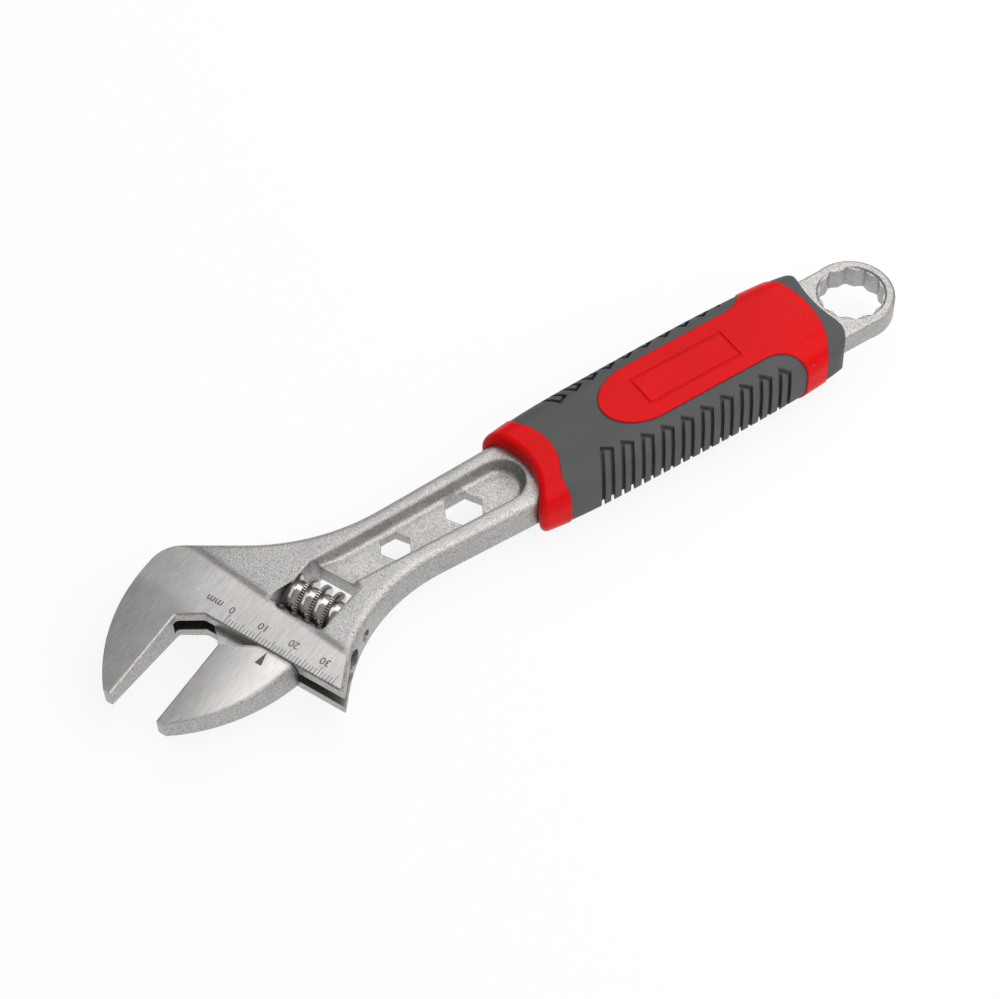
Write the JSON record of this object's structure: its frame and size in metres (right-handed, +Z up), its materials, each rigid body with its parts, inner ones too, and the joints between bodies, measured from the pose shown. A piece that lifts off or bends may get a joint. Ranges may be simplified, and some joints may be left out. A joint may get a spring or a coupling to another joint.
{
  "type": "adjustable wrench",
  "caption": "Adjustable wrench with a worm-driven sliding jaw, hex sockets in its shank, a ring end and a red and grey moulded grip.",
  "frame": {"origin": "centre of the bounding box in plan, at the lowest point of the grip", "axes": "+X from the jaws to the ring along the shank, +Y to the fixed jaw's side, +Z up out of the face with the opening scale"},
  "size_m": [0.2525, 0.0668, 0.0214],
  "materials": {
    "forged_steel": "satin plated forging with ground head faces",
    "jaw_steel": "satin plated, ground faces",
    "worm_steel": "bright plated with fine knurled crests",
    "pin_steel": "turned",
    "spring_steel": "drawn wire",
    "hard_grip": "semi-gloss red moulding",
    "soft_grip": "matt dark grey soft moulding",
    "soft_collar": "matt dark grey soft moulding"
  },
  "bodies": {
    "frame": {"wrench_body": "forged_steel", "worm_pin": "pin_steel", "worm_spring": "spring_steel", "grip_core": "hard_grip", "grip_sleeve": "soft_grip", "grip_end_collar": "soft_collar"},
    "jaw": {"sliding_jaw": "jaw_steel"},
    "worm": {"adjusting_worm": "worm_steel"}
  },
  "joints": [
    {"name": "jaw_slide", "type": "slide", "parent": "frame", "child": "jaw", "axis": [0.3827, -0.9239, 0], "range_m": [-0.0149, 0.02]},
    {"name": "worm_turn", "type": "hinge", "parent": "frame", "child": "worm", "pos_m": [-0.06684, -0.00446, 0.0107], "axis": [0.3827, -0.9239, 0], "range_deg": [-1716, 1280]}
  ],
  "couplings": [
    {"joint": "worm_turn", "follows": "jaw_slide", "rad_per_m": -1496}
  ]
}
